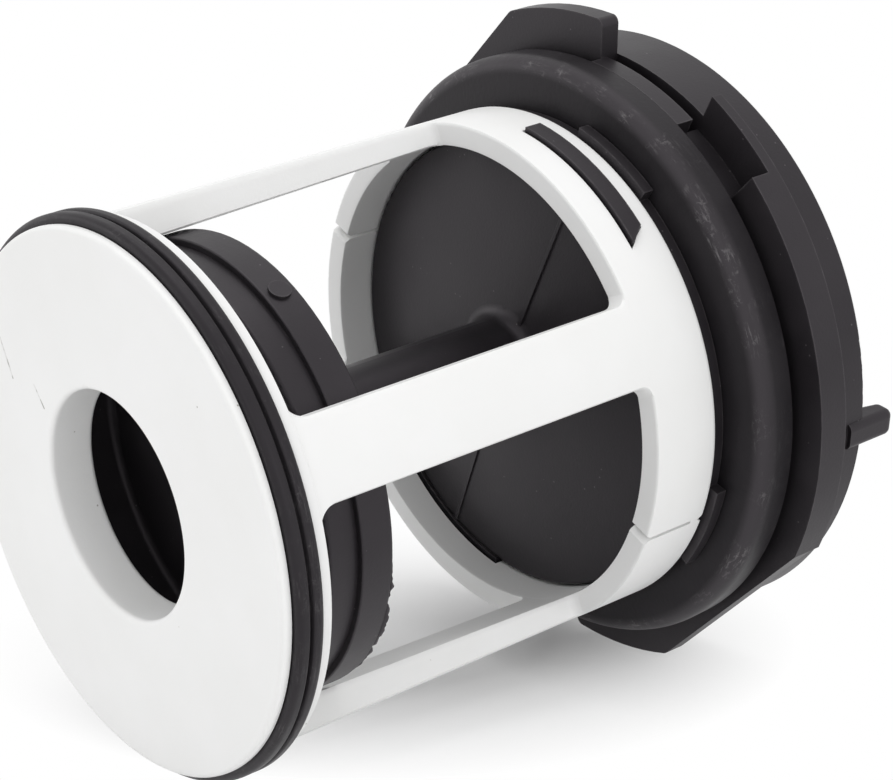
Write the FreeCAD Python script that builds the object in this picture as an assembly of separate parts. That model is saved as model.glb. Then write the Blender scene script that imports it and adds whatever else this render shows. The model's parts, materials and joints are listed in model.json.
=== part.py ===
"""Drain pump filter of a washing machine: strainer cage, bayonet plug and two seals, lying on its side."""
import FreeCAD, Part
import math
import os

# Driving dimensions, in millimetres and degrees. Stations run along the axis from the end face to the cap.
# Angles turn about the axis, and zero points up when the filter lies at rest.

# End ring of the cage, with the groove for its seal
port_radius = 11.3
port_length = 4.8
port_wall = 2.0
end_plate_thickness = 2.6
lip_inset = 0.1
lip_width = 0.9
groove_depth = 2.0
groove_width = 3.1
flange_proud = 0.55
flange_width = 1.2

# Ribs and rear ring of the cage
cage_radius = 26.45
rib_width = 8.0
rib_root_depth = 3.45
rib_angle = 73.6
rib_count = 4
window_length = 39.2
window_front_corner = 2.2
window_rear_corner = 1.2
ring_width = 7.7
ring_wall = 2.35
slot_width = 2.4
slot_span = 39.7
slot_angle = 34.6
slot_lean = 38.0
slot_rear_land = 1.9
slit_width = 0.4
slit_angle = 119.5
slit_notch_width = 1.2
slit_notch_depth = 0.8

# Seal of the end ring
end_seal_proud = 0.9
end_seal_valley = 0.7

# Plug: baffle cup, stem and end wall
cup_gap = 3.2
cup_skirt_inset = 0.7
cup_skirt_length = 3.2
cup_clearance = 0.1
cup_band_width = 3.6
cup_wall = 1.6
cup_floor = 2.4
stem_radius = 5.5
stem_root = 1.4
end_wall_thickness = 2.8
end_wall_crown = 0.9
witness_angle = 33.0
witness_width = 0.4
witness_height = 0.2
gate_radius = 1.1
gate_height = 0.3

# Plug: neck that snaps into the rear ring, and the seat of the big seal
neck_insert = 3.8
shoulder_width = 1.3
shoulder_inset = 0.55
tab_proud = 0.45
stop_proud = 0.75
stop_span = 22.0
stop_angle = 33.0
stop_count = 4
seal_seat_depth = 1.3
seal_width = 4.1
seal_proud = 5.3
seal_band_fall = 0.2
seal_front_proud = 0.3
seal_front_rise = 0.4
seal_crest_round = 1.1
collar_proud = 3.0
collar_width = 1.25
land_inset = 0.1
land_width = 2.1

# Plug: bayonet plate, rim and grip
plate_proud = 2.55
plate_width = 2.2
backing_width = 1.2
lug_proud = 1.4
lug_start = -11.6
lug_span = 23.8
lug_ramp_span = 45.2
lug_crest_round = 1.6
lug_count = 2
notch_angle = 44.6
notch_span = 16.6
notch_depth = 1.8
rim_width = 6.5
rim_wall = 2.4
neck_wall = 2.25
well_throat_depth = 6.0
grip_width = 2.9
grip_proud = 0.5
grip_rise = 0.6
grip_horn_height = 3.9
grip_horn_length = 2.2
grip_lap = 2.2
grip_angle = 103.6
grip_bite = 0.5

# Clearances and edge rounding
seal_clearance = 0.05
snap_clearance = 0.25
seat_clearance = 0.1
edge_round = 0.4
soft_round = 0.8

# Stations, added up from the end face
groove_front = lip_width
groove_rear = groove_front + groove_width
window_front = groove_rear + flange_width
window_rear = window_front + window_length
ring_rear = window_rear + ring_width
slot_rear = ring_rear - slot_rear_land
slot_front = slot_rear - slot_width
cup_front = window_front + cup_gap
cup_step = cup_front + cup_skirt_length
cup_rear = cup_step + cup_band_width
neck_front = ring_rear - neck_insert
shoulder_front = ring_rear + seat_clearance
seat_front = shoulder_front + shoulder_width
seat_rear = seat_front + seal_width + 2 * seat_clearance
plate_front = seat_rear + collar_width
plate_rear = plate_front + plate_width
backing_rear = plate_rear + backing_width
rim_rear = plate_rear + rim_width
grip_rear = rim_rear + grip_rise
horn_rear = rim_rear + grip_horn_height

# Radii that follow from the cage, the large seal and the rim
flange_radius = cage_radius + flange_proud
lip_radius = flange_radius - lip_inset
groove_radius = lip_radius - groove_depth
end_seal_radius = lip_radius + end_seal_proud
rib_root_radius = cage_radius - rib_root_depth
ring_bore_radius = cage_radius - ring_wall
cup_band_radius = rib_root_radius - cup_clearance
cup_skirt_radius = cup_band_radius - cup_skirt_inset
neck_radius = ring_bore_radius - snap_clearance
well_radius = neck_radius - neck_wall
tab_radius = cage_radius + tab_proud
stop_radius = cage_radius + stop_proud
shoulder_radius = cage_radius - shoulder_inset
seal_seat_radius = shoulder_radius - seal_seat_depth
seal_front_radius = shoulder_radius + seal_front_proud
seal_radius = shoulder_radius + seal_proud
seal_rear_radius = seal_radius - seal_band_fall
land_radius = seal_radius - land_inset
collar_radius = seal_seat_radius + collar_proud
rim_radius = seal_radius
plate_radius = rim_radius + plate_proud
lug_radius = plate_radius + lug_proud
notch_floor_radius = rim_radius - notch_depth
well_mouth_radius = rim_radius - rim_wall
grip_reach = rim_radius + grip_proud

AXIS = FreeCAD.Vector(0, 0, 1)
CENTRE = FreeCAD.Vector(0, 0, 0)


def at(radius, station):
    """Point of the half-section, which lies in the plane of angle zero."""
    return FreeCAD.Vector(radius, 0, station)


def outline(corners):
    """Closed wire in the half-section from (radius, station, rounding) corners."""
    bends = []
    for index, (radius, station, rounding) in enumerate(corners):
        here = at(radius, station)
        if rounding == 0:
            bends.append((here, None, here))
            continue
        before = at(*corners[index - 1][:2])
        after = at(*corners[(index + 1) % len(corners)][:2])
        back = (before - here).normalize()
        ahead = (after - here).normalize()
        half = back.getAngle(ahead) / 2
        bisector = (back + ahead).normalize()
        reach = rounding / math.tan(half)
        middle = here + bisector * (rounding / math.sin(half) - rounding)
        bends.append((here + back * reach, middle, here + ahead * reach))
    edges = []
    for index, (start, middle, end) in enumerate(bends):
        if middle is not None:
            edges.append(Part.Arc(start, middle, end).toShape())
        following = bends[(index + 1) % len(bends)][0]
        edges.append(Part.LineSegment(end, following).toShape())
    return Part.Wire(edges)


def turned(corners):
    """Solid of revolution about the axis."""
    return Part.Face(outline(corners)).revolve(CENTRE, AXIS, 360)


def turned_by(shape, angle):
    """Copy of a shape, turned about the axis."""
    copy = shape.copy()
    copy.rotate(CENTRE, AXIS, angle)
    return copy


def around(shape, angle, count):
    """List of equal copies about the axis, the first one at an angle."""
    return [turned_by(shape, angle + index * 360 / count) for index in range(count)]


def arc_block(inner, outer, front, rear, span):
    """Ring segment between two radii and two stations, centred on angle zero."""
    corners = [(inner, front, 0), (outer, front, 0), (outer, rear, 0), (inner, rear, 0)]
    block = Part.Face(outline(corners)).revolve(CENTRE, AXIS, span)
    return turned_by(block, -span / 2)


def upright_slab(corners, width):
    """Slab of a width, centred on the plane of angle zero, from corners in that plane."""
    slab = Part.Face(outline(corners)).extrude(FreeCAD.Vector(0, width, 0))
    slab.translate(FreeCAD.Vector(0, -width / 2, 0))
    return slab


def window_cutter():
    """Block that opens one window between two ribs, with rounded corners beside both ribs."""
    side = rib_width / 2
    reach = 2 * flange_radius
    block = Part.makeBox(reach, reach, window_length, FreeCAD.Vector(side, side, window_front))
    beside_rib = {"front": [], "rear": []}
    for edge in block.Edges:
        middle = edge.CenterOfMass
        if min(middle.x, middle.y) > side + edge_round:
            continue
        if abs(middle.z - window_front) < edge_round:
            beside_rib["front"].append(edge)
        if abs(middle.z - window_rear) < edge_round:
            beside_rib["rear"].append(edge)
    block = block.makeFillet(window_front_corner, beside_rib["front"])
    rear_edges = [edge for edge in block.Edges if abs(edge.CenterOfMass.z - window_rear) < edge_round
                  and min(edge.CenterOfMass.x, edge.CenterOfMass.y) < side + edge_round]
    return block.makeFillet(window_rear_corner, rear_edges)


def slit_cutter():
    """Thin axial cut through the rear ring, opened to a vee at both ends."""
    inner = ring_bore_radius - ring_wall
    depth = 3 * ring_wall
    slit = Part.makeBox(depth, slit_width, ring_width, FreeCAD.Vector(inner, -slit_width / 2, window_rear))
    cutter = slit
    half = slit_notch_width / 2
    for mouth, inward in ((window_rear, 1), (ring_rear, -1)):
        corners = [FreeCAD.Vector(inner, -half, mouth), FreeCAD.Vector(inner, half, mouth),
                   FreeCAD.Vector(inner, 0, mouth + inward * slit_notch_depth)]
        vee = Part.Face(Part.makePolygon(corners + corners[:1]))
        cutter = cutter.fuse(vee.extrude(FreeCAD.Vector(depth, 0, 0)))
    return cutter


def slanted_arc(inner, outer, front, rear, start, end):
    """Ring segment whose far end is cut off at a slant, longest along its front."""
    middle = (front + rear) / 2
    size = outer + ring_width
    shortened = math.degrees((rear - front) / 2 * math.tan(math.radians(slot_lean)) / cage_radius)
    block = turned_by(arc_block(inner, outer, front, rear, end - start), (start + end) / 2)
    beyond = Part.makeBox(2 * size, size, size, FreeCAD.Vector(0, 0, -size / 2))
    beyond.rotate(CENTRE, FreeCAD.Vector(1, 0, 0), slot_lean)
    beyond.translate(FreeCAD.Vector(0, 0, middle))
    return block.cut(turned_by(beyond, end - shortened))


def make_cage():
    """White cage: end ring with its port and seal groove, four ribs, and the slotted rear ring."""
    port_outer = port_radius + port_wall
    body = turned([
        (port_radius, 0, edge_round),
        (lip_radius, 0, edge_round),
        (lip_radius, groove_front, 0),
        (groove_radius, groove_front, 0),
        (groove_radius, groove_rear, 0),
        (flange_radius, groove_rear, 0),
        (flange_radius, window_front, 0),
        (cage_radius, window_front, 0),
        (cage_radius, ring_rear, edge_round),
        (ring_bore_radius, ring_rear, edge_round),
        (ring_bore_radius, window_rear, 0),
        (rib_root_radius, window_front, 0),
        (rib_root_radius, end_plate_thickness, soft_round),
        (port_outer, end_plate_thickness, soft_round),
        (port_outer, port_length, edge_round),
        (port_radius, port_length, edge_round),
    ])
    slot = slanted_arc(ring_bore_radius - ring_wall, cage_radius + ring_wall, slot_front, slot_rear,
                       slot_angle - slot_span / 2, slot_angle + slot_span / 2)
    cutters = around(window_cutter(), rib_angle, rib_count)
    cutters += around(slot, 0, 2)
    cutters += around(slit_cutter(), slit_angle, 2)
    return body.cut(cutters)


def make_end_seal():
    """Rubber ring in the end groove: two round beads with a valley between them."""
    inner = groove_radius + seal_clearance
    front = groove_front + seat_clearance
    rear = groove_rear - seat_clearance
    middle = (front + rear) / 2
    bead_round = end_seal_valley
    return turned([
        (inner, front, 0),
        (end_seal_radius, front, bead_round),
        (end_seal_radius, middle - end_seal_valley / 2, edge_round / 2),
        (end_seal_radius - end_seal_valley, middle, 0),
        (end_seal_radius, middle + end_seal_valley / 2, edge_round / 2),
        (end_seal_radius, rear, bead_round),
        (inner, rear, 0),
    ])


def make_cap_seal():
    """Large rubber seal on the plug: a flank that leans back a little, a round crest and a broad band."""
    inner = seal_seat_radius + seal_clearance
    front = seat_front + seat_clearance
    rear = front + seal_width
    return turned([
        (inner, front, 0),
        (seal_front_radius, front, soft_round),
        (seal_radius, front + seal_front_rise, seal_crest_round),
        (seal_rear_radius, rear, edge_round),
        (inner, rear, 0),
    ])


def plug_body():
    """Turned core of the plug: baffle cup, stem, end wall, neck, seal seat, rim and finger well."""
    well_floor = neck_front + end_wall_thickness
    well_throat = rim_rear - well_throat_depth
    return turned([
        (0, cup_rear - cup_floor, 0),
        (cup_skirt_radius - cup_wall, cup_rear - cup_floor, soft_round),
        (cup_skirt_radius - cup_wall, cup_front, 0),
        (cup_skirt_radius, cup_front, edge_round),
        (cup_skirt_radius, cup_step, 0),
        (cup_band_radius, cup_step, edge_round / 2),
        (cup_band_radius, cup_rear, edge_round),
        (stem_radius, cup_rear, stem_root),
        (stem_radius, neck_front - end_wall_crown, stem_root),
        (neck_radius, neck_front, edge_round),
        (neck_radius, shoulder_front, 0),
        (shoulder_radius, shoulder_front, 0),
        (shoulder_radius, seat_front, 0),
        (seal_seat_radius, seat_front, 0),
        (seal_seat_radius, seat_rear, 0),
        (collar_radius, seat_rear, 0),
        (collar_radius, plate_rear, 0),
        (rim_radius, plate_rear, 0),
        (rim_radius, rim_rear, edge_round),
        (well_mouth_radius, rim_rear, soft_round),
        (well_radius, well_throat, soft_round),
        (well_radius, well_floor, soft_round),
        (0, well_floor, 0),
    ])


def rim_point(radius, angle):
    """Point of the bayonet plate's front face."""
    turn = math.radians(angle)
    return FreeCAD.Vector(radius * math.cos(turn), radius * math.sin(turn), plate_front)


def rim_arc(radius, start, end):
    """Arc about the axis on the bayonet plate's front face."""
    corners = [rim_point(radius, angle) for angle in (start, (start + end) / 2, end)]
    return Part.Arc(*corners).toShape()


def upright_edges(plate, angle):
    """Edges of the plate that stand upright at the lugs' radius, at an angle."""
    corner = rim_point(lug_radius, angle)
    return [edge for edge in plate.Edges
            if abs(edge.BoundBox.ZLength - plate_width) < edge_round / 2
            and math.hypot(edge.CenterOfMass.x - corner.x, edge.CenterOfMass.y - corner.y) < edge_round / 2]


def lug_edges(index):
    """Outline of one lug on the plate: the straight ramp, the lug's arc and the step down behind it."""
    corner = lug_start + index * 360 / lug_count
    end = corner + lug_span
    ramp_foot = corner - lug_ramp_span
    return [
        Part.LineSegment(rim_point(plate_radius, ramp_foot), rim_point(lug_radius, corner)).toShape(),
        rim_arc(lug_radius, corner, end),
        Part.LineSegment(rim_point(lug_radius, end), rim_point(collar_radius, end)).toShape(),
    ]


def bayonet_plate():
    """Plate with two lugs: each rises along a straight ramp and ends in a gap before the flange."""
    step = 360 / lug_count
    edges = []
    for index in range(lug_count):
        lug_end = lug_start + lug_span + index * step
        flange_start = notch_angle + index * step
        ramp_foot = lug_start - lug_ramp_span + (index + 1) * step
        edges += lug_edges(index)
        edges.append(rim_arc(collar_radius, lug_end, flange_start))
        edges.append(Part.LineSegment(rim_point(collar_radius, flange_start),
                                      rim_point(plate_radius, flange_start)).toShape())
        edges.append(rim_arc(plate_radius, flange_start, ramp_foot))
    plate = Part.Face(Part.Wire(edges)).extrude(FreeCAD.Vector(0, 0, plate_width))
    for index in range(lug_count):
        corner = lug_start + index * step
        plate = plate.makeFillet(lug_crest_round, upright_edges(plate, corner))
        plate = plate.makeFillet(soft_round, upright_edges(plate, corner + lug_span))
    bore = Part.makeCylinder(seal_seat_radius, plate_width, FreeCAD.Vector(0, 0, plate_front))
    return plate.cut(bore)


def flange_backing():
    """Ring segment behind the flange, from the notch to the foot of the next ramp."""
    start = notch_angle - notch_span / 2
    end = lug_start - lug_ramp_span + 360 / lug_count
    segment = arc_block(seal_seat_radius, plate_radius, plate_rear, backing_rear, end - start)
    return turned_by(segment, (start + end) / 2)


def grip_bar():
    """Finger grip across the back of the cap, with its two ends lapping over the rim."""
    well_floor = neck_front + end_wall_thickness
    well_throat = rim_rear - well_throat_depth
    lap = rim_rear - grip_lap
    web = well_radius + grip_bite
    lap_web = web + (well_mouth_radius - well_radius) * (lap - well_throat) / well_throat_depth
    horn_foot = grip_reach - grip_horn_length - soft_round
    horn_top = grip_reach - grip_horn_length
    half = [
        (web, well_floor - grip_bite, 0),
        (web, well_throat, 0),
        (lap_web, lap, 0),
        (grip_reach, lap, 0),
        (grip_reach, horn_rear, soft_round),
        (horn_top, horn_rear, soft_round),
        (horn_foot, grip_rear, soft_round),
    ]
    mirrored = [(-radius, station, rounding) for radius, station, rounding in reversed(half)]
    bar = upright_slab(half + mirrored, grip_width)
    top_edges = [edge for edge in bar.Edges
                 if edge.CenterOfMass.z > rim_rear and abs(edge.CenterOfMass.y) > grip_width / 4]
    return bar.makeFillet(soft_round, top_edges)


def witness_line():
    """Fine ridge where the two mould halves met on the end wall."""
    crest = neck_front - end_wall_crown
    outer = neck_radius - edge_round
    return upright_slab([
        (stem_radius, crest - witness_height, 0),
        (outer, neck_front - witness_height, 0),
        (outer, neck_front + witness_height, 0),
        (stem_radius, crest + end_wall_crown, 0),
    ], witness_width)


def gate_mark():
    """Small round stub of the moulding gate on the baffle cup's rear band."""
    station = (cup_step + cup_rear) / 2
    base = cup_band_radius - cup_wall / 2
    length = cup_wall / 2 + gate_height
    return Part.makeCylinder(gate_radius, length, FreeCAD.Vector(base, 0, station), FreeCAD.Vector(1, 0, 0))


def make_plug():
    """Black plug, one moulding from the baffle cup to the grip."""
    slack = math.degrees(snap_clearance / cage_radius)
    tab_start = slot_angle - slot_span / 2 + slack
    tab_end = slot_angle + slot_span / 2 - 2 * slack
    tab = slanted_arc(neck_radius - snap_clearance, tab_radius, slot_front + snap_clearance,
                      slot_rear - snap_clearance, tab_start, tab_end)
    stop = arc_block(seal_seat_radius, stop_radius, shoulder_front + seat_clearance, seat_front, stop_span)
    lug_end = lug_start + lug_span
    notch_start = notch_angle - notch_span / 2
    notch_front = plate_front - seat_clearance
    notch = arc_block(notch_floor_radius, 2 * lug_radius, notch_front, plate_rear, notch_span)
    notch_floor = arc_block(seal_seat_radius, notch_floor_radius, plate_front, plate_rear, notch_span)
    land = arc_block(seal_seat_radius, land_radius, seat_rear, seat_rear + land_width, notch_start - lug_end)
    pieces = [bayonet_plate(), turned_by(grip_bar(), grip_angle), turned_by(gate_mark(), witness_angle)]
    pieces += around(tab, 0, 2)
    pieces += around(notch_floor, notch_angle, lug_count)
    pieces += around(land, (lug_end + notch_start) / 2, lug_count)
    pieces += around(flange_backing(), 0, lug_count)
    pieces += around(stop, stop_angle, stop_count)
    pieces += around(witness_line(), witness_angle, 2)
    plug = plug_body().fuse(pieces[0]).cut(around(notch, notch_angle, lug_count))
    plug = plug.fuse(pieces[1:])
    return plug.removeSplitter()


def rest_placement(shapes):
    """Placement at rest: on the end seal and one lug, with the box's bottom centre at the origin."""
    rise = lug_radius - end_seal_radius
    run = plate_front - (groove_front + groove_rear) / 2
    tilt = math.atan2(rise, run)
    cosine = math.cos(tilt)
    sine = math.sin(tilt)
    turn = FreeCAD.Placement(FreeCAD.Matrix(-sine, 0, cosine, 0,
                                            0, -1, 0, 0,
                                            cosine, 0, sine, 0,
                                            0, 0, 0, 1))
    posed = Part.makeCompound([shape.copy() for shape in shapes])
    posed.Placement = turn
    box = posed.optimalBoundingBox(False, False)
    turn.Base = FreeCAD.Vector(-box.Center.x, -box.Center.y, -box.ZMin)
    return turn


nodes = {
    "cage": make_cage(),
    "end_seal": make_end_seal(),
    "plug": make_plug(),
    "cap_seal": make_cap_seal(),
}
placement = rest_placement(nodes.values())
os.makedirs("parts", exist_ok=True)
for name, shape in nodes.items():
    shape.Placement = placement.multiply(shape.Placement)
    shape.exportStep("parts/" + name + ".step")
    print(name, "solids", len(shape.Solids), "valid", shape.isValid(), "volume", round(shape.Volume, 1))
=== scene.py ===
# %% [markdown]
# # The drain pump filter of a washing machine
# The filter lies on its side, as it does on a workbench after it has been pulled out of the machine.
# A white cage with four ribs lets the water in, and a black plug with a finger grip closes the pump.
# Two black rubber seals make it tight. The solids come in as a fixed frame, and every piece below is
# made in that frame, in metres, so nothing has to be fitted afterwards.

# %% Load the solids
import json
import math
import bmesh
import bpy
from mathutils import Matrix, Vector


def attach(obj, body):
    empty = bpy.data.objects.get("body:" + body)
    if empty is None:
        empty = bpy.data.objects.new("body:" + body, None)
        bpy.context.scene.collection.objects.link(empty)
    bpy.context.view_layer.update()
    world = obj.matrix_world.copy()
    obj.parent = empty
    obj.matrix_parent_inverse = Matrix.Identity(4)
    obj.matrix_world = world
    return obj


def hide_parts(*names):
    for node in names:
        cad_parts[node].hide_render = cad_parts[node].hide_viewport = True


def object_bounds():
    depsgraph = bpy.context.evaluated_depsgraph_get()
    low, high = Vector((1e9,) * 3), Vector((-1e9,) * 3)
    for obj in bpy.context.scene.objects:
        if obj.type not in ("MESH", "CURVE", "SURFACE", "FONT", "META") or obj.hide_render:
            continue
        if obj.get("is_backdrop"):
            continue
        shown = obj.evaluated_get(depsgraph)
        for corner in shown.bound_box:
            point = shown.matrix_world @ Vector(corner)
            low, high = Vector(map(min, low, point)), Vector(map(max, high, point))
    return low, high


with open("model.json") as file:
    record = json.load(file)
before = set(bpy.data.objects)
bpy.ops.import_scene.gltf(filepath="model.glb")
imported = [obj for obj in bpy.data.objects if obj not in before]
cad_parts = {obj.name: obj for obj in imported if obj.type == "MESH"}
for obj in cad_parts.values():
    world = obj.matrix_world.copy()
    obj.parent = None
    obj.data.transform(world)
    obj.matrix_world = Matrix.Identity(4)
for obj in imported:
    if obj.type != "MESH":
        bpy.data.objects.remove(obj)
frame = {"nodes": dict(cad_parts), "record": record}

solid_low, solid_high = (Vector(corner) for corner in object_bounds())
print("solids:", sorted(frame["nodes"]), "box", list(solid_low), list(solid_high))

# %% [markdown]
# ## One axis for everything
# Nearly every form of the filter is turned about one axis, or repeats around it. The record gives that
# axis as the bore of the inlet port. A matrix turns "radius, angle, station" into a place in the scene:
# the station runs from the white end face towards the cap, angle 0 is up, and 90 faces the camera.

# %% Find the filter's axis
MM = 0.001
inlet = next(mount for mount in frame["record"]["mounts"] if mount["name"] == "inlet_port")
to_cap = -Vector(inlet["axis"]).normalized()
inlet_centre = Vector(inlet["pos_m"])
cage_points = [vertex.co for vertex in frame["nodes"]["cage"].data.vertices]
face_offset = min((point - inlet_centre).dot(to_cap) for point in cage_points)

upward = (Vector((0, 0, 1)) - to_cap * to_cap.z).normalized()
sideways = to_cap.cross(upward)
filter_axes = Matrix((upward, sideways, to_cap)).transposed().to_4x4()
filter_axes.translation = inlet_centre + to_cap * face_offset


def on_filter(radius, angle, station):
    """The place at that radius (mm), angle (degrees) and station (mm)."""
    turn = math.radians(angle)
    return filter_axes @ (Vector((radius * math.cos(turn), radius * math.sin(turn), station)) * MM)


print("end face centre", list(filter_axes.translation), "tilt", math.degrees(math.asin(to_cap.z)))

# %% [markdown]
# ## Finishes
# All three materials here are mouldings, and a moulding is never one flat colour. Each finish is drawn from
# the piece's own coordinates. The first helpers only add nodes and join them: a Math node, a Vector Math
# node, a Map Range that turns one range of values into another, and a Mix of two colours.

# %% Helpers that add nodes
def put(tree, kind, wiring=None, **settings):
    """Adds a node. Wiring gives its inputs, each a plain value or another node's output."""
    new = tree.nodes.new(kind)
    for setting, value in settings.items():
        setattr(new, setting, value)
    for socket, value in (wiring or {}).items():
        if isinstance(value, bpy.types.NodeSocket):
            tree.links.new(value, new.inputs[socket])
        else:
            new.inputs[socket].default_value = value
    return new


def calc(tree, operation, first, second=0.0):
    """One Math node."""
    return put(tree, "ShaderNodeMath", {0: first, 1: second}, operation=operation).outputs[0]


def vector_calc(tree, operation, first, second):
    """One Vector Math node. A distance and a dot product are numbers, and the rest are vectors."""
    made = put(tree, "ShaderNodeVectorMath", {0: first, 1: second}, operation=operation)
    return made.outputs["Value" if operation in ("DISTANCE", "DOT_PRODUCT") else "Vector"]


def between(tree, value, low, high, to_low=0.0, to_high=1.0):
    """Turns a value from one range into another, held at both ends."""
    wiring = {"Value": value, "From Min": low, "From Max": high, "To Min": to_low, "To Max": to_high}
    return put(tree, "ShaderNodeMapRange", wiring).outputs["Result"]


def blend(tree, amount, first, second):
    """Mixes two colours by a value."""
    mix = put(tree, "ShaderNodeMix", {0: amount, 6: first, 7: second}, data_type="RGBA")
    return mix.outputs[2]


# %% [markdown]
# ## Patterns
# The next helpers draw what makes a surface look used, and a painted edge highlight: noise for clouds and
# grain, round specks from a Voronoi texture, and Pointiness, which is high along outer edges and low in
# corners, so that wear, dirt and the painted edge highlight go where they belong. Painted images could show
# the same, but these patterns stay sharp at any distance.

# %% Helpers that draw patterns
def own_place(tree):
    """The piece's own coordinates, in metres."""
    return put(tree, "ShaderNodeTexCoord").outputs["Object"]


def noise(tree, scale, detail=3.0, roughness=0.55, place=None):
    """Noise on the piece's own coordinates, or on others."""
    wiring = {"Vector": place or own_place(tree), "Scale": scale, "Detail": detail, "Roughness": roughness}
    return put(tree, "ShaderNodeTexNoise", wiring).outputs["Fac"]


def specks(tree, spacing, size, share):
    """Small round specks: their spacing and radius in mm, and the share of places that have one."""
    cells = put(tree, "ShaderNodeTexVoronoi", {"Vector": own_place(tree), "Scale": 1000.0 / spacing})
    chance = put(tree, "ShaderNodeSeparateColor", {0: cells.outputs["Color"]}).outputs[0]
    near = between(tree, cells.outputs["Distance"], size / spacing, 0.6 * size / spacing)
    return calc(tree, "MULTIPLY", near, calc(tree, "LESS_THAN", chance, share))


def outer_edges(tree, low, high):
    """A mask of the outer edges, from the surface's Pointiness."""
    return between(tree, put(tree, "ShaderNodeNewGeometry").outputs["Pointiness"], low, high)


# %% Helpers for a finish
def new_finish(name):
    """A material with its tree and its shader."""
    finish = bpy.data.materials.new(name)
    finish.use_nodes = True
    return finish, finish.node_tree, finish.node_tree.nodes["Principled BSDF"]


def wire_finish(tree, shader, colour, roughness, height, strength):
    """Joins colour, roughness and bump to the shader."""
    bump = put(tree, "ShaderNodeBump", {"Height": height, "Strength": strength, "Distance": 0.2 * MM})
    tree.links.new(colour, shader.inputs["Base Color"])
    tree.links.new(roughness, shader.inputs["Roughness"])
    tree.links.new(bump.outputs["Normal"], shader.inputs["Normal"])
    print("finish:", len(tree.nodes), "nodes")


# %% [markdown]
# ## White plastic
# The cage is moulded in white polypropylene. It has a satin skin with faint clouds of warmer and cooler
# white, a very fine grain, a little grey dirt that gathers along the edges, and single dark specks. Two
# hairline scratches cross the end face. A hairline is the distance from a point to a short straight line,
# so it needs only a few vector nodes and can be laid exactly where it belongs.

# %% Make the white plastic
def hairline(tree, start, end, width):
    """A mask along the straight line between two places, with a width in mm."""
    along = end - start
    from_start = vector_calc(tree, "SUBTRACT", own_place(tree), start)
    reach = vector_calc(tree, "DOT_PRODUCT", from_start, along)
    share = between(tree, reach, 0.0, along.length_squared)
    nearest = put(tree, "ShaderNodeVectorMath", {0: along, "Scale": share}, operation="SCALE").outputs[0]
    gap = vector_calc(tree, "DISTANCE", from_start, nearest)
    return between(tree, gap, width * MM, 0.4 * width * MM)


warm_white = (0.830, 0.830, 0.822, 1)
clear_white = (0.858, 0.858, 0.855, 1)
dirt_grey = (0.56, 0.55, 0.53, 1)
speck_grey = (0.40, 0.38, 0.35, 1)
scratch_grey = (0.30, 0.28, 0.26, 1)
# Each scratch has two ends on the face, given as radius (mm) and angle (degrees), and a width (mm).
face_scratches = [((15.4, -50.0), (13.1, -53.7), 0.14), ((22.0, -50.9), (18.7, -58.0), 0.16)]

white_plastic, tree, shader = new_finish("white_satin_plastic")
edges = outer_edges(tree, 0.52, 0.60)
clouds = noise(tree, 60.0)
colour = blend(tree, between(tree, clouds, 0.35, 0.65), warm_white, clear_white)
dirt = calc(tree, "MULTIPLY", edges, between(tree, noise(tree, 240.0, 5.0), 0.50, 0.75, 0.0, 0.5))
colour = blend(tree, dirt, colour, dirt_grey)
colour = blend(tree, specks(tree, 3.0, 0.14, 0.3), colour, speck_grey)
for start, end, width in face_scratches:
    scratch = hairline(tree, on_filter(*start, 0), on_filter(*end, 0), width)
    broken = calc(tree, "MULTIPLY", scratch, between(tree, noise(tree, 900.0, 2.0), 0.40, 0.55, 0.2, 0.9))
    colour = blend(tree, broken, colour, scratch_grey)
gloss = between(tree, clouds, 0.3, 0.7, 0.40, 0.54)
wire_finish(tree, shader, colour, gloss, noise(tree, 2600.0, 2.0), 0.05)
shader.inputs["Specular IOR Level"].default_value = 0.40

# %% [markdown]
# ## Black plastic
# The plug is a glass-filled black plastic. Most of what the eye sees on black is gloss, so the colour stays
# very dark and the roughness does the work: clouds where the melt flowed, a fine grain, and tiny grey specks
# of dust. Its edges are painted lighter, partly as wear from the housing and partly as a painted highlight
# where a rounded edge would catch the light. A Bevel node looks at the surface a little way round each point,
# so where its normal leaves the true one there is an edge, and noise breaks that line up.

# %% Make the black plastic
deep_black = (0.0110, 0.0096, 0.0112, 1)
soft_black = (0.0185, 0.0165, 0.0186, 1)
rubbed_and_highlight_grey = (0.085, 0.079, 0.083, 1)
dust_grey = (0.075, 0.068, 0.073, 1)
violet_sheen = (1.0, 0.92, 1.0, 1)
edge_reach = 0.35 * MM

black_plastic, tree, shader = new_finish("black_grained_plastic")
clouds = noise(tree, 90.0, 4.0)
colour = blend(tree, between(tree, clouds, 0.3, 0.7), deep_black, soft_black)
rounded = put(tree, "ShaderNodeBevel", {"Radius": edge_reach}, samples=6).outputs["Normal"]
straight = put(tree, "ShaderNodeNewGeometry").outputs["Normal"]
agreeing = vector_calc(tree, "DOT_PRODUCT", rounded, straight)
# The edges are painted lighter here: partly wear from the housing, partly a painted highlight on rounded
# edges.
edges = calc(tree, "MULTIPLY", between(tree, agreeing, 0.985, 0.80), outer_edges(tree, 0.495, 0.53))
rub_and_highlight_mask = calc(tree, "MULTIPLY", edges, between(tree, noise(tree, 420.0, 6.0, 0.7), 0.35, 0.65, 0.10, 0.75))
colour = blend(tree, rub_and_highlight_mask, colour, rubbed_and_highlight_grey)
colour = blend(tree, specks(tree, 1.3, 0.11, 0.4), colour, dust_grey)
gloss = between(tree, clouds, 0.3, 0.7, 0.37, 0.50)
wire_finish(tree, shader, colour, gloss, noise(tree, 3200.0, 2.0), 0.07)
shader.inputs["Specular IOR Level"].default_value = 0.36
shader.inputs["Specular Tint"].default_value = violet_sheen
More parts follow.
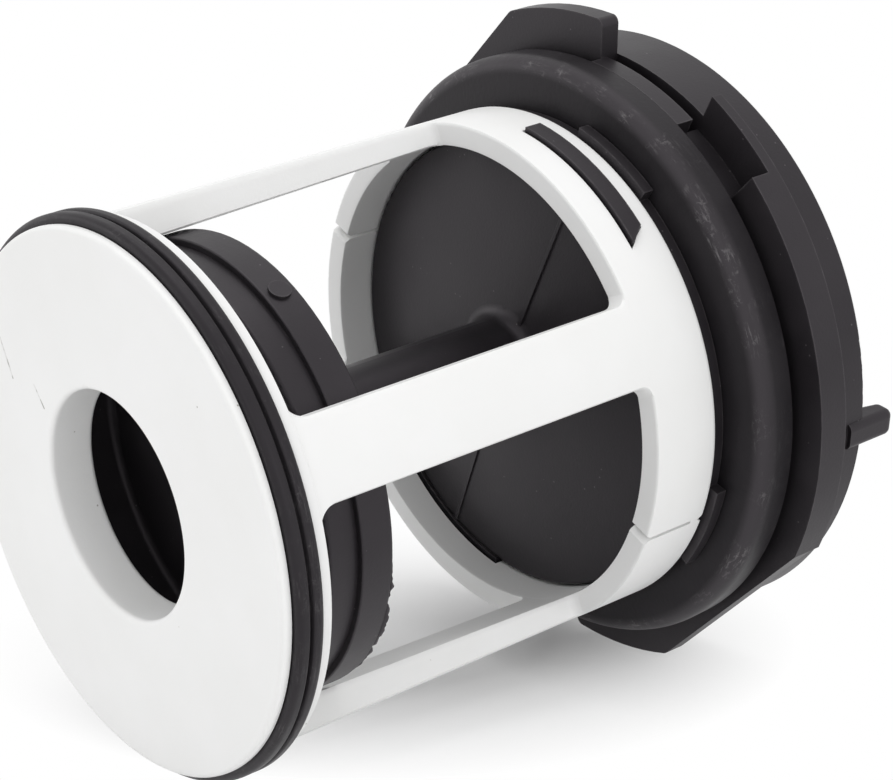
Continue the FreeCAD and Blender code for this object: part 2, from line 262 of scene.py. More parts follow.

# %% [markdown]
# ## Black rubber
# The seals are nitrile rubber. Their skin is dark and smooth. Along the crest it is painted lighter grey,
# partly as wear where the crest rubs along the pump's bore and partly as a painted highlight on the rounded
# crest. The sweep further down stores "crest", which tells how much each point is rubbed and highlighted, and
# "strip", a place on the seal as if it were wound up tightly. Noise on those places is drawn out along the
# seal, as real rub marks are, and a coarser noise gathers the marks into patches.

# %% Make the rubber
deep_black = (0.0088, 0.0079, 0.0091, 1)
soft_black = (0.0155, 0.0141, 0.0157, 1)
crest_rub_and_highlight_grey = (0.046, 0.042, 0.046, 1)
scuff_grey = (0.230, 0.220, 0.225, 1)
dust_grey = (0.30, 0.285, 0.28, 1)

seal_rubber, tree, shader = new_finish("black_seal_rubber")
crest = put(tree, "ShaderNodeAttribute", attribute_name="crest").outputs["Fac"]
strip = put(tree, "ShaderNodeAttribute", attribute_name="strip").outputs["Vector"]
clouds = noise(tree, 130.0, 4.0)
colour = blend(tree, between(tree, clouds, 0.3, 0.7), deep_black, soft_black)
# A painted highlight along the crest, which is partly also the grey of rubbing.
colour = blend(tree, calc(tree, "MULTIPLY", crest, 0.8), colour, crest_rub_and_highlight_grey)
patches = between(tree, noise(tree, 150.0, 3.0, 0.7), 0.48, 0.66)
long_marks = between(tree, noise(tree, 3000.0, 4.0, 0.72, strip), 0.52, 0.68)
round_marks = between(tree, noise(tree, 1300.0, 4.0, 0.75), 0.56, 0.68)
rub_and_highlight_mask = calc(tree, "MULTIPLY", crest, patches)
scuffed = calc(tree, "MULTIPLY", rub_and_highlight_mask, calc(tree, "MAXIMUM", long_marks, round_marks))
colour = blend(tree, calc(tree, "MULTIPLY", scuffed, 0.9), colour, scuff_grey)
dust = calc(tree, "MULTIPLY", rub_and_highlight_mask, specks(tree, 1.6, 0.15, 0.5))
colour = blend(tree, dust, colour, dust_grey)
gloss = between(tree, calc(tree, "ADD", clouds, scuffed), 0.3, 1.4, 0.38, 0.72)
wire_finish(tree, shader, colour, gloss, noise(tree, 1800.0, 3.0), 0.10)
shader.inputs["Specular IOR Level"].default_value = 0.20
shader.inputs["Specular Tint"].default_value = violet_sheen

# %% [markdown]
# ## A tree that turns a profile into a ring
# The seals and both rings of the cage are one profile swept round the axis. Geometry Nodes can do that
# with a grid: one direction walks round the axis, the other walks along the profile, which is read with
# Sample Curve. It gives clean quads at any fineness. A lathe would be quicker to set up with the Screw
# modifier, but the tree can also store "crest" and "strip" for the rubber, and be used inside other trees.

# %% Helpers for geometry trees
WELD = 0.002 * MM


def new_tree(name, inputs):
    """A Geometry Nodes tree with named inputs, the outputs of its input node, and each input's identifier."""
    tree = bpy.data.node_groups.new(name, "GeometryNodeTree")
    tree.interface.new_socket("Geometry", in_out="INPUT", socket_type="NodeSocketGeometry")
    identifiers = {}
    for label, kind in inputs.items():
        socket = tree.interface.new_socket(label, in_out="INPUT", socket_type="NodeSocket" + kind)
        identifiers[label] = socket.identifier
    tree.interface.new_socket("Geometry", in_out="OUTPUT", socket_type="NodeSocketGeometry")
    return tree, put(tree, "NodeGroupInput").outputs, identifiers


def through(tree, kind, geometry, wiring=None, **settings):
    """Passes a geometry through one node. Wiring gives that node's other inputs."""
    everything = {"Geometry": geometry, **(wiring or {})}
    return put(tree, "GeometryNode" + kind, everything, **settings).outputs["Geometry"]


def end_tree(tree, geometry, finish):
    """Ends a tree: instances become real, the finish is set, and the result goes out."""
    real = through(tree, "RealizeInstances", geometry)
    finished = through(tree, "SetMaterial", real, {"Material": finish})
    put(tree, "NodeGroupOutput", {"Geometry": finished})
    print("tree:", tree.name, len(tree.nodes), "nodes")


# %% Helpers for places in a tree
def split(tree, place):
    """The coordinates of a place, by their names."""
    return put(tree, "ShaderNodeSeparateXYZ", {0: place}).outputs


def point_place(tree):
    """Where each point of the geometry is."""
    return put(tree, "GeometryNodeInputPosition").outputs[0]


def unit_grid(tree, across, along):
    """A grid, and each point's share of the way across and along it, from 0 to 1."""
    wiring = {"Size X": 1.0, "Size Y": 1.0, "Vertices X": across, "Vertices Y": along}
    grid = put(tree, "GeometryNodeMeshGrid", wiring).outputs["Mesh"]
    spot = split(tree, point_place(tree))
    return grid, calc(tree, "ADD", spot["X"], 0.5), calc(tree, "ADD", spot["Y"], 0.5)


def read_profile(tree, profile, share):
    """The two coordinates of a drawn profile at that share of its length."""
    drawn = put(tree, "GeometryNodeObjectInfo", {"Object": profile}).outputs["Geometry"]
    sampled = put(tree, "GeometryNodeSampleCurve", {"Curves": drawn, "Factor": share}, mode="FACTOR")
    spot = split(tree, sampled.outputs["Position"])
    return spot["X"], spot["Y"]


def combined(tree, x, y, z):
    """A place, or a size, from its three coordinates."""
    return put(tree, "ShaderNodeCombineXYZ", {"X": x, "Y": y, "Z": z}).outputs[0]


def round_axis(tree, radius, turn, station):
    """The place at that radius, angle (radians) and station."""
    upward_share = calc(tree, "MULTIPLY", radius, calc(tree, "COSINE", turn))
    sideways_share = calc(tree, "MULTIPLY", radius, calc(tree, "SINE", turn))
    return combined(tree, upward_share, sideways_share, station)


# %% Build the sweep tree
rub_and_highlight_begins = -1.8 * MM
rub_and_highlight_full = -0.9 * MM
rub_and_highlight_runs_out = 1.3 * MM
strip_radius = 5 * MM
strip_length = 20 * MM

sweep, given, sweep_inputs = new_tree("ring_from_profile", {
    "Profile": "Object", "Steps round": "Int", "Steps along": "Int", "Rub and highlight radius": "Float",
    "Rub and highlight station": "Float", "Rub and highlight amount": "Float", "Finish": "Material"})
grid, lap, along = unit_grid(sweep, given["Steps round"], given["Steps along"])
radius, station = read_profile(sweep, given["Profile"], along)
turn = calc(sweep, "MULTIPLY", lap, 2 * math.pi)
# This mask marks both rub wear and a painted highlight along the seal's crest.
below_crest = calc(sweep, "SUBTRACT", radius, given["Rub and highlight radius"])
rub_and_highlight_mask = between(sweep, below_crest, rub_and_highlight_begins, rub_and_highlight_full, 0.0, given["Rub and highlight amount"])
past_station = calc(sweep, "SUBTRACT", station, given["Rub and highlight station"])
crest = calc(sweep, "MULTIPLY", rub_and_highlight_mask, between(sweep, past_station, 0.0, rub_and_highlight_runs_out, 1.0, 0.12))
strip = round_axis(sweep, strip_radius, turn, calc(sweep, "MULTIPLY", along, strip_length))
kept = through(sweep, "StoreNamedAttribute", grid, {"Name": "crest", "Value": crest},
               data_type="FLOAT", domain="POINT")
kept = through(sweep, "StoreNamedAttribute", kept, {"Name": "strip", "Value": strip},
               data_type="FLOAT_VECTOR", domain="POINT")
swept = through(sweep, "SetPosition", kept, {"Position": round_axis(sweep, radius, turn, station)})
closed = through(sweep, "MergeByDistance", swept, {"Distance": WELD})
end_tree(sweep, closed, given["Finish"])

# %% [markdown]
# ## Drawing a profile and running a tree
# A moulded profile has no truly sharp corner. It is drawn as corners of radius, station and rounding, and
# each corner becomes a short arc, the way a draughtsman rounds it. A second helper runs a tree on an empty
# object, keeps the plain mesh that comes out, and turns it into the filter's place.

# %% Draw a rounded profile
def drawn_profile(name, corners, steps=8):
    """A closed curve whose corners (x, y and rounding in mm) are rounded."""
    points = []
    for index, (x, y, rounding) in enumerate(corners):
        corner = Vector((x, y))
        back = (Vector(corners[index - 1][:2]) - corner).normalized()
        ahead = (Vector(corners[(index + 1) % len(corners)][:2]) - corner).normalized()
        half = back.angle(ahead) / 2
        centre = corner + (back + ahead).normalized() * (rounding / math.sin(half))
        start = corner + back * (rounding / math.tan(half)) - centre
        swing = start.angle_signed(corner + ahead * (rounding / math.tan(half)) - centre)
        points += [centre + Matrix.Rotation(-swing * step / steps, 2) @ start for step in range(steps + 1)]
    curve = bpy.data.curves.new(name, "CURVE")
    line = curve.splines.new("POLY")
    line.points.add(len(points) - 1)
    for spot, point in zip(line.points, points):
        spot.co = (point.x * MM, point.y * MM, 0, 1)
    line.use_cyclic_u = True
    drawing = bpy.data.objects.new(name, curve)
    bpy.context.scene.collection.objects.link(drawing)
    return drawing


# %% Run a tree and keep its mesh
def piece_from_tree(name, tree, identifiers, values, sharp):
    """The mesh that a tree makes with those values, in the filter's place, sharp above an angle (degrees)."""
    piece = bpy.data.objects.new(name, bpy.data.meshes.new(name))
    bpy.context.scene.collection.objects.link(piece)
    modifier = piece.modifiers.new("tree", "NODES")
    modifier.node_group = tree
    for label, value in values.items():
        modifier[identifiers[label]] = value
    made = bpy.data.meshes.new_from_object(piece.evaluated_get(bpy.context.evaluated_depsgraph_get()))
    piece.modifiers.clear()
    piece.data = made
    made.name = name
    made.transform(filter_axes)
    work = bmesh.new()
    work.from_mesh(made)
    bmesh.ops.recalc_face_normals(work, faces=work.faces)
    work.to_mesh(made)
    work.free()
    made.shade_smooth()
    made.set_sharp_from_angle(angle=math.radians(sharp))
    print(name, len(made.polygons), "faces")
    return piece


def stands_for(piece, node):
    """Lets a finished piece stand for its solid, which is hidden, and ride on the body."""
    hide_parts(node)
    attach(piece, "root")


# %% [markdown]
# ## The end seal
# A rubber ring sits in the groove behind the white end face. It has two round beads, which stand a little
# proud of the white lips on either side, and the valley between them shows as a thin dark line. Two rings
# side by side would leave out the web between the beads, so one drawn profile is swept instead.

# %% Sweep the end seal
def seal_piece(name, corners, steps_round, steps_along, rub_and_highlight_station, rub_and_highlight_amount):
    """Sweeps a rubber profile round the axis, rubbed and given a painted highlight along its outermost part
    as far as a station.
    """
    profile = drawn_profile(name + "_profile", corners)
    values = {
        "Profile": profile, "Steps round": steps_round, "Steps along": steps_along,
        "Rub and highlight radius": max(corner[0] for corner in corners) * MM, "Rub and highlight station": rub_and_highlight_station * MM,
        "Rub and highlight amount": rub_and_highlight_amount, "Finish": seal_rubber}
    piece = piece_from_tree(name, sweep, sweep_inputs, values, sharp=50)
    bpy.data.objects.remove(profile)
    return piece


foot = 24.95
bead = 27.8
valley = 27.1
front = 1.0
rear = 3.9
# The beads get weak rub marks and a weak painted highlight along their crests.
end_seal = seal_piece("end_seal_ring", [
    (foot, front, 0.1), (bead, front, 0.62), (bead, 2.2, 0.2), (valley, 2.45, 0.08),
    (bead, 2.7, 0.2), (bead, rear, 0.62), (foot, rear, 0.1)],
    steps_round=361, steps_along=121, rub_and_highlight_station=rear, rub_and_highlight_amount=0.25)
stands_for(end_seal, "end_seal")

# %% [markdown]
# ## The cap seal
# The wide seal in front of the cap has a flank that leans back a little, a round crest and a broad flat
# band. It is the piece that slides in the pump's bore, so its crest is the most scuffed place of all, and it
# also carries the strongest painted highlight. A torus would have no band, so this ring is swept from a drawn
# profile too.

# %% Sweep the cap seal
foot = 24.65
front = 53.6
rear = 57.79
cap_seal = seal_piece("cap_seal_ring", [
    (foot, front, 0.2), (26.2, front, 0.8), (31.2, 54.0, 1.7), (31.09, rear, 0.02), (foot, rear, 0.1)],
    steps_round=481, steps_along=141, rub_and_highlight_station=54.4, rub_and_highlight_amount=1.0)
stands_for(cap_seal, "cap_seal")

# %% [markdown]
# ## The cage
# The cage is one white moulding with a simple rule: an end ring with the inlet port and the seal's groove,
# a rear ring, and four equal ribs between them. It could be modelled by hand, edge by edge, but a rule is
# better kept as a rule, so one tree makes it all. The rings use the sweep tree from above.

# %% Start the cage tree
def joined(tree, parts):
    """Several geometries as one."""
    join = put(tree, "GeometryNodeJoinGeometry")
    for part in parts:
        tree.links.new(part, join.inputs[0])
    return join.outputs[0]


def copies_round(tree, geometry, count, first):
    """Equal copies of a geometry about the axis, the first one at an angle (radians)."""
    points = put(tree, "GeometryNodePoints", {"Count": count}).outputs[0]
    index = put(tree, "GeometryNodeInputIndex").outputs[0]
    step = calc(tree, "DIVIDE", 2 * math.pi, count)
    facing = combined(tree, 0.0, 0.0, calc(tree, "ADD", first, calc(tree, "MULTIPLY", index, step)))
    wiring = {"Points": points, "Instance": geometry, "Rotation": facing}
    placed = put(tree, "GeometryNodeInstanceOnPoints", wiring).outputs["Instances"]
    return through(tree, "RealizeInstances", placed)


cage_tree, given, cage_inputs = new_tree("cage_from_rule", {
    "End profile": "Object", "Ring profile": "Object", "Rib section": "Object", "Ribs": "Int",
    "First rib": "Float", "Cage radius": "Float", "Rib half width": "Float", "Rib depth": "Float",
    "Ring wall": "Float", "Window front": "Float", "Window rear": "Float", "Front corner": "Float",
    "Rear corner": "Float", "Slot start": "Float", "Slot end": "Float", "Slot lean": "Float",
    "Slot front": "Float", "Slot rear": "Float", "Slit angle": "Float", "Slit width": "Float",
    "Ring rear": "Float", "Finish": "Material"})
print("the cage tree takes", len(cage_inputs), "values")

# %% [markdown]
# ## The ribs
# A rib is a grid again, wrapped round a drawn section: its outside keeps to the cage's radius, its root gets
# thinner towards the cap, and both ends widen into the round corners of the windows. The rows of the grid
# lie closer together at both ends, where the corners need them. Copies of the rib stand round the axis.

# %% The ribs in the cage tree
rib_steps_along = 97
rib_steps_round = 57
into_end_ring = 0.2 * MM
into_rear_ring = 0.14 * MM


def flare(tree, distance, corner):
    """How much wider a rib is at that distance from its end, where it runs out into a round corner."""
    within = calc(tree, "MINIMUM", calc(tree, "SUBTRACT", corner, distance), corner)
    left = calc(tree, "MAXIMUM", within, 0.0)
    corner_square = calc(tree, "MULTIPLY", corner, corner)
    squares = calc(tree, "SUBTRACT", corner_square, calc(tree, "MULTIPLY", left, left))
    return calc(tree, "SUBTRACT", corner, calc(tree, "SQRT", squares))


grid, share, lap = unit_grid(cage_tree, rib_steps_along, rib_steps_round)
side, depth = read_profile(cage_tree, given["Rib section"], lap)
swing = calc(cage_tree, "COSINE", calc(cage_tree, "MULTIPLY", share, math.pi))
eased = calc(cage_tree, "MULTIPLY", calc(cage_tree, "SUBTRACT", 1.0, swing), 0.5)
rib_start = calc(cage_tree, "SUBTRACT", given["Window front"], into_end_ring)
rib_end = calc(cage_tree, "ADD", given["Window rear"], into_rear_ring)
station = between(cage_tree, eased, 0.0, 1.0, rib_start, rib_end)
from_front = calc(cage_tree, "SUBTRACT", station, given["Window front"])
from_rear = calc(cage_tree, "SUBTRACT", given["Window rear"], station)
front_flare = flare(cage_tree, from_front, given["Front corner"])
rear_flare = flare(cage_tree, from_rear, given["Rear corner"])
half = calc(cage_tree, "ADD", given["Rib half width"], calc(cage_tree, "ADD", front_flare, rear_flare))
across = calc(cage_tree, "DIVIDE", calc(cage_tree, "MULTIPLY", side, half), given["Rib half width"])
front_root = calc(cage_tree, "SUBTRACT", given["Cage radius"], given["Rib depth"])
rear_root = calc(cage_tree, "SUBTRACT", given["Cage radius"], given["Ring wall"])
root = between(cage_tree, station, given["Window front"], given["Window rear"], front_root, rear_root)
radius = between(cage_tree, depth, 0.0, given["Rib depth"], given["Cage radius"], root)
radius_square = calc(cage_tree, "MULTIPLY", radius, radius)
height_square = calc(cage_tree, "SUBTRACT", radius_square, calc(cage_tree, "MULTIPLY", across, across))
place = combined(cage_tree, calc(cage_tree, "SQRT", height_square), across, station)
rib = through(cage_tree, "SetPosition", grid, {"Position": place})
rib = through(cage_tree, "MergeByDistance", rib, {"Distance": WELD})
ribs = copies_round(cage_tree, rib, given["Ribs"], given["First rib"])
print("cage tree:", len(cage_tree.nodes), "nodes with the ribs")

# %% [markdown]
# ## Slots and slits
# The rear ring is cut with a Mesh Boolean: two long slots that the plug snaps into, and two fine slits,
# opened to a vee at both ends, which let the ring spread. The block that cuts a slot is bent round the axis,
# and one of its ends leans.

# %% The slots in the cage tree
slot_inside = 22 * MM
slot_outside = 30 * MM
wiring = {"Size": (1, 1, 1), "Vertices X": 2, "Vertices Y": 61, "Vertices Z": 2}
block = put(cage_tree, "GeometryNodeMeshCube", wiring).outputs["Mesh"]
spot = split(cage_tree, point_place(cage_tree))
radius = between(cage_tree, spot["X"], -0.5, 0.5, slot_inside, slot_outside)
station = between(cage_tree, spot["Z"], -0.5, 0.5, given["Slot front"], given["Slot rear"])
leaning = between(cage_tree, spot["Z"], -0.5, 0.5, 0.0, given["Slot lean"])
far_end = calc(cage_tree, "SUBTRACT", given["Slot end"], leaning)
turn = between(cage_tree, spot["Y"], -0.5, 0.5, given["Slot start"], far_end)
slot = through(cage_tree, "SetPosition", block, {"Position": round_axis(cage_tree, radius, turn, station)})
slots = copies_round(cage_tree, slot, 2, 0.0)
print("cage tree:", len(cage_tree.nodes), "nodes with the slots")

# %% The slits in the cage tree
cut_depth = 8 * MM
slit_length = 12 * MM
vee_side = 1.4142 * MM
vee_scale = (1, 0.6, 0.8)
slit_size = combined(cage_tree, cut_depth, given["Slit width"], slit_length)
slit = put(cage_tree, "GeometryNodeMeshCube", {"Size": slit_size}).outputs["Mesh"]
mouths = {mouth: combined(cage_tree, given["Cage radius"], 0.0, given[mouth]) for mouth in (
    "Window rear", "Ring rear")}
cuts = [through(cage_tree, "Transform", slit, {"Translation": mouths["Window rear"]})]
cube = put(cage_tree, "GeometryNodeMeshCube", {"Size": (cut_depth, vee_side, vee_side)}).outputs["Mesh"]
vee = through(cage_tree, "Transform", cube, {"Rotation": (math.radians(45), 0, 0)})
for mouth in mouths.values():
    cuts.append(through(cage_tree, "Transform", vee, {"Translation": mouth, "Scale": vee_scale}))
slits = copies_round(cage_tree, joined(cage_tree, cuts), 2, given["Slit angle"])
print("cage tree:", len(cage_tree.nodes), "nodes with the slits")

# %% Put the cage tree together
rings = []
for profile, steps_round, steps_along in (("End profile", 181, 221), ("Ring profile", 241, 101)):
    wiring = {"Profile": given[profile], "Steps round": steps_round, "Steps along": steps_along}
    rings.append(put(cage_tree, "GeometryNodeGroup", wiring, node_tree=sweep).outputs["Geometry"])
end_ring, rear_ring = rings
wiring = {"Mesh 1": rear_ring, "Mesh 2": joined(cage_tree, [slots, slits]), "Self Intersection": True}
cut = put(cage_tree, "GeometryNodeMeshBoolean", wiring, operation="DIFFERENCE", solver="EXACT")
end_tree(cage_tree, joined(cage_tree, [end_ring, cut.outputs["Mesh"], ribs]), given["Finish"])

# %% [markdown]
# ## The cage's sizes
# The tree knows only the rule. Its sizes come last, in millimetres and degrees, so the same tree could make
# a longer cage or one with more ribs.

# %% Draw the cage's profiles
port_bore = 11.3
port_outside = 13.3
port_rear = 4.8
plate_rear = 2.6
flange = 26.9
groove_floor = 24.9
groove_front = 0.9
groove_rear = 4.0
lip = 27.0
lip_inside = 23.0
window_front = 5.2
window_rear = 44.4
ring_rear = 52.1
cage_radius = 26.45
ring_wall = 2.35
ring_inside = cage_radius - ring_wall
rib_half = 4.0
rib_depth = 3.45
end_profile = drawn_profile("end_profile", [
    (port_bore, 0, 0.4), (flange, 0, 0.4), (flange, groove_front, 0.1), (groove_floor, groove_front, 0.05),
    (groove_floor, groove_rear, 0.05), (lip, groove_rear, 0.1), (lip, window_front, 0.15),
    (lip_inside, window_front, 0.2), (lip_inside, plate_rear, 0.8), (port_outside, plate_rear, 0.8),
    (port_outside, port_rear, 0.4), (port_bore, port_rear, 0.4)])
ring_profile = drawn_profile("ring_profile", [
    (cage_radius, window_rear, 0.15), (cage_radius, ring_rear, 0.4),
    (ring_inside, ring_rear, 0.4), (ring_inside, window_rear, 0.15)])
rib_section = drawn_profile("rib_section", [
    (-rib_half, 0, 0.25), (rib_half, 0, 0.25), (rib_half, rib_depth, 0.25), (-rib_half, rib_depth, 0.25)])
print("profiles:", end_profile.name, ring_profile.name, rib_section.name)

# %% Make the cage
lengths = {
    "Cage radius": cage_radius, "Rib half width": rib_half, "Rib depth": rib_depth, "Ring wall": ring_wall,
    "Window front": window_front, "Window rear": window_rear, "Front corner": 2.2, "Rear corner": 1.2,
    "Slot front": 47.8, "Slot rear": 50.2, "Slit width": 0.4, "Ring rear": ring_rear}
angles = {"First rib": 73.6, "Slot start": 14.75, "Slot end": 54.45, "Slot lean": 4.06, "Slit angle": 119.5}
values = {
    "End profile": end_profile, "Ring profile": ring_profile, "Rib section": rib_section, "Ribs": 4,
    "Finish": white_plastic}
values.update({label: length * MM for label, length in lengths.items()})
values.update({label: math.radians(angle) for label, angle in angles.items()})
cage = piece_from_tree("white_cage", cage_tree, cage_inputs, values, sharp=40)
for drawing in (end_profile, ring_profile, rib_section):
    bpy.data.objects.remove(drawing)
stands_for(cage, "cage")

# %% [markdown]
# ## The plug
# The plug is the most involved moulding: baffle cup, stem, end wall, snap tabs, bayonet plate, rim and
# grip. Its solid already has the right shape, so a copy of it is enough. Doubles are merged, so that the
# surface is one skin. Merging would lose the solid's own normals, which know the true curve of every
# rounding, so they wait in an attribute and are given back afterwards.

# %% Copy the plug
plug_mesh = frame["nodes"]["plug"].data.copy()
plug_mesh.name = "black_plug"
plug = bpy.data.objects.new("black_plug", plug_mesh)
bpy.context.scene.collection.objects.link(plug)
normals = [0.0] * (3 * len(plug_mesh.loops))
plug_mesh.corner_normals.foreach_get("vector", normals)
kept = plug_mesh.attributes.new("solid_normal", "FLOAT_VECTOR", "CORNER")
kept.data.foreach_set("vector", normals)
work = bmesh.new()
work.from_mesh(plug_mesh)
bmesh.ops.remove_doubles(work, verts=work.verts, dist=WELD)
print("black_plug", len(work.verts), "points after merging")

# %% [markdown]
# ## The rim's rear edge
# Along the rear edge of the plug's rim the solid's triangles are long, and their chords would dent the
# outline. There the edges are divided, and the new points are laid on the true rounding: a small circle that
# runs round the axis. A Subdivision Surface would smooth the edge as well, but round off all other edges too.

# %% Lay the rim's rear edge on its rounding
rim_rounding = 0.4 * MM
rounding_radius = 30.8 * MM
rounding_station = 67.35 * MM
slack = 0.001 * MM
reach = rim_rounding + 0.01 * MM
to_filter = filter_axes.inverted()


def on_rim_rounding(point):
    """Whether a point belongs to the rounding, its true place there, and the outward direction."""
    local = to_filter @ point
    spoke = Vector((local.x, local.y, 0)).normalized()
    centre = spoke * rounding_radius + Vector((0, 0, rounding_station))
    outward = local - centre
    belongs = outward.dot(spoke) > -slack and outward.z > -slack and outward.length < reach
    outward.normalize()
    return belongs, filter_axes @ (centre + outward * rim_rounding), filter_axes.to_3x3() @ outward


long_edges = [edge for edge in work.edges if all(on_rim_rounding(point.co)[0] for point in edge.verts)]
bmesh.ops.subdivide_edges(work, edges=long_edges, cuts=2)
rim_points = set()
work.verts.index_update()
for point in work.verts:
    belongs, place, outward = on_rim_rounding(point.co)
    if belongs:
        point.co = place
        rim_points.add(point.index)
work.to_mesh(plug_mesh)
work.free()
print("rim:", len(rim_points), "points on the rounding")

# %% Give the plug its normals and finish
normals = [tuple(corner.vector) for corner in plug_mesh.attributes["solid_normal"].data]
for face in plug_mesh.polygons:
    if rim_points.issuperset(face.vertices):
        for corner in face.loop_indices:
            spot = plug_mesh.vertices[plug_mesh.loops[corner].vertex_index].co
            normals[corner] = tuple(on_rim_rounding(spot)[2])
for label in ("custom_normal", "solid_normal"):
    if label in plug_mesh.attributes:
        plug_mesh.attributes.remove(plug_mesh.attributes[label])
plug_mesh.shade_smooth()
plug_mesh.normals_split_custom_set(normals)
plug_mesh.materials.clear()
plug_mesh.materials.append(black_plastic)
stands_for(plug, "plug")
print("black_plug", len(plug_mesh.polygons), "faces")

# %% [markdown]
# ## Flash on the baffle cup
# Where the two halves of the mould meet, a little plastic is squeezed out. This thin, ragged flash stands on
# the rear edge of the baffle cup's band, most of it low on the side towards the camera. It is a flat ring
# again, but its height follows noise round the cup: along most of the edge it is a hair that hides inside the
# cup, and it grows to half a millimetre where the flash shows. It is built on its own, because it stands for
# no solid and only rides along.

# %% The height of the flash
flash_tree, given, flash_inputs = new_tree("ragged_flash", {
    "Edge radius": "Float", "Edge station": "Float", "Height": "Float", "Worst angle": "Float",
    "Finish": "Material"})
flash_steps_round = 1081
flash_steps_across = 13
least_height = 0.02 * MM
grid, lap, section_share = unit_grid(flash_tree, flash_steps_round, flash_steps_across)
turn = calc(flash_tree, "MULTIPLY", lap, 2 * math.pi)
spot = round_axis(flash_tree, given["Edge radius"], turn, 0.0)
facing = calc(flash_tree, "COSINE", calc(flash_tree, "SUBTRACT", turn, given["Worst angle"]))
patches = between(flash_tree, noise(flash_tree, 220.0, 1.0, 0.5, spot), 0.58, 0.70, 0.0, 0.5)
amount = calc(flash_tree, "MAXIMUM", between(flash_tree, facing, 0.93, 0.98), patches)
ragged = between(flash_tree, noise(flash_tree, 480.0, 2.0, 0.6, spot), 0.36, 0.62, 0.15, 1.0)
height = calc(flash_tree, "MULTIPLY", calc(flash_tree, "MULTIPLY", amount, ragged), given["Height"])
height = calc(flash_tree, "MAXIMUM", height, least_height)
half_thick = between(flash_tree, height, 0.0, 0.2 * MM, 0.01 * MM, 0.05 * MM)
print("flash tree:", len(flash_tree.nodes), "nodes for the height")

# %% Make the flash
# The flash leans: this share of its height goes back along the axis, and this share goes outwards.
lean = 0.8
rise = 0.6
flash_weld = 0.001 * MM
bend = calc(flash_tree, "MULTIPLY", section_share, 2 * math.pi)
outward = calc(flash_tree, "MULTIPLY", height, calc(flash_tree, "COSINE", bend))
sideward = calc(flash_tree, "MULTIPLY", half_thick, calc(flash_tree, "SINE", bend))
leaning = calc(flash_tree, "MULTIPLY", outward, lean)
rising = calc(flash_tree, "MULTIPLY", outward, rise)
back = calc(flash_tree, "SUBTRACT", leaning, calc(flash_tree, "MULTIPLY", sideward, rise))
out = calc(flash_tree, "ADD", rising, calc(flash_tree, "MULTIPLY", sideward, lean))
station = calc(flash_tree, "ADD", given["Edge station"], back)
radius = calc(flash_tree, "ADD", given["Edge radius"], out)
bent = through(flash_tree, "SetPosition", grid, {"Position": round_axis(flash_tree, radius, turn, station)})
closed = through(flash_tree, "MergeByDistance", bent, {"Distance": flash_weld})
end_tree(flash_tree, closed, given["Finish"])
values = {
    "Edge radius": 22.74 * MM, "Edge station": 15.0 * MM, "Height": 0.55 * MM,
    "Worst angle": math.radians(124), "Finish": black_plastic}
flash = piece_from_tree("cup_flash", flash_tree, flash_inputs, values, sharp=60)
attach(flash, "root")

# %% [markdown]
# ## Floor
# The filter lies on a plain white table. Under the filter and behind it, where the shade falls, the floor is
# an ordinary white surface. Further out, rays from the camera and from reflections meet plain white, so the
# background is white without any more light on the object.

# %% Lay the floor
def seen_directly(tree):
    """1 for rays from the camera, from reflections and through glass, and 0 for light."""
    path = put(tree, "ShaderNodeLightPath")
    first = calc(tree, "MAXIMUM", path.outputs["Is Camera Ray"], path.outputs["Is Glossy Ray"])
    return calc(tree, "MAXIMUM", first, path.outputs["Is Transmission Ray"])


middle = (solid_low + solid_high) / 2
shade = middle + Vector((12, 20, 0)) * MM
shade_core = 18 * MM
shade_reach = 45 * MM
floor_finish, tree, shader = new_finish("pale_floor")
shader.inputs["Roughness"].default_value = 0.9
shader.inputs["Specular IOR Level"].default_value = 0.1
paper = blend(tree, noise(tree, 6.0, 2.0), (0.90, 0.90, 0.90, 1), (0.92, 0.92, 0.92, 1))
tree.links.new(paper, shader.inputs["Base Color"])
from_shade = vector_calc(tree, "DISTANCE", own_place(tree), (shade.x, shade.y, 0))
far_off = between(tree, from_shade, shade_core, shade_reach)
white = put(tree, "ShaderNodeEmission", {"Color": (1, 1, 1, 1), "Strength": 1.0})
share = calc(tree, "MULTIPLY", seen_directly(tree), far_off)
mixed = put(tree, "ShaderNodeMixShader", {0: share, 1: shader.outputs[0], 2: white.outputs[0]})
tree.links.new(mixed.outputs[0], tree.nodes["Material Output"].inputs["Surface"])
floor = bpy.data.objects.new("floor", bpy.data.meshes.new("floor"))
work = bmesh.new()
bmesh.ops.create_grid(work, x_segments=8, y_segments=8, size=3.0)
work.to_mesh(floor.data)
work.free()
floor.data.materials.append(floor_finish)
bpy.context.scene.collection.objects.link(floor)
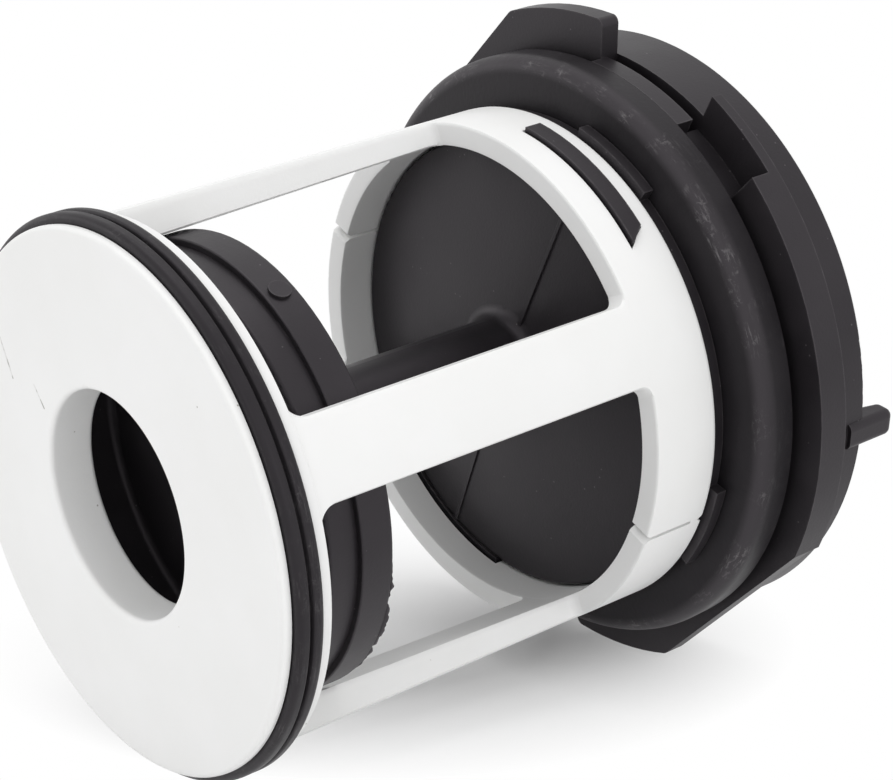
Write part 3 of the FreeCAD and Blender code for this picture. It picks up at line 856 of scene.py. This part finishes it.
floor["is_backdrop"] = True
print("floor:", floor_finish.name)

# %% [markdown]
# ## Light
# The light is even and soft: a broad box overhead, weaker ones from the front, the front left and the back
# left, and a white room. The lamps are set so that white plastic stays just below white.

# %% Light the scene
room_light = 0.80
room_seen = 1.0
world = bpy.data.worlds.new("soft_room")
world.use_nodes = True
bpy.context.scene.world = world
tree = world.node_tree
room = tree.nodes["Background"]
room.inputs["Color"].default_value = (1, 1, 1, 1)
strength = between(tree, seen_directly(tree), 0.0, 1.0, room_light, room_seen)
tree.links.new(strength, room.inputs["Strength"])


def soft_lamp(name, offset, size, power):
    """A square soft box at a place beside the object, aimed at its middle, in metres and watts."""
    lamp = bpy.data.lights.new(name, "AREA")
    lamp.shape = "SQUARE"
    lamp.size = size
    lamp.energy = power
    box = bpy.data.objects.new(name, lamp)
    box.location = middle + Vector(offset)
    box.rotation_euler = (-Vector(offset)).to_track_quat("-Z", "Y").to_euler()
    bpy.context.scene.collection.objects.link(box)


soft_lamp("overhead_box", (-0.05, 0.05, 0.75), 0.55, 1.6)
soft_lamp("front_left_box", (-0.70, -0.40, 0.30), 0.3, 0.45)
soft_lamp("front_box", (0.05, -0.85, 0.12), 0.6, 1.4)
soft_lamp("back_left_box", (-0.50, 0.75, 0.20), 0.4, 0.7)

# %% [markdown]
# ## Camera
# A long lens from a little above the table, on the side of the end face, as in a catalogue picture. The
# camera leans by one degree, so its roll is turned in after it has been aimed.

# %% Set the camera
lens = bpy.data.cameras.new("camera")
lens.lens = 109.817
lens.sensor_width = 36.0
camera = bpy.data.objects.new("camera", lens)
camera.location = Vector((-160.032, -212.603, 94.623)) * MM
looking = Vector((0.597543, 0.769457, -0.225563))
level = looking.to_track_quat("-Z", "Y").to_matrix()
roll = math.radians(-1.0528)
camera.rotation_euler = (level @ Matrix.Rotation(roll, 3, "Z")).to_euler()
bpy.context.scene.collection.objects.link(camera)
bpy.context.scene.camera = camera
bpy.context.scene.view_settings.view_transform = "Standard"
print("camera at", list(camera.location))
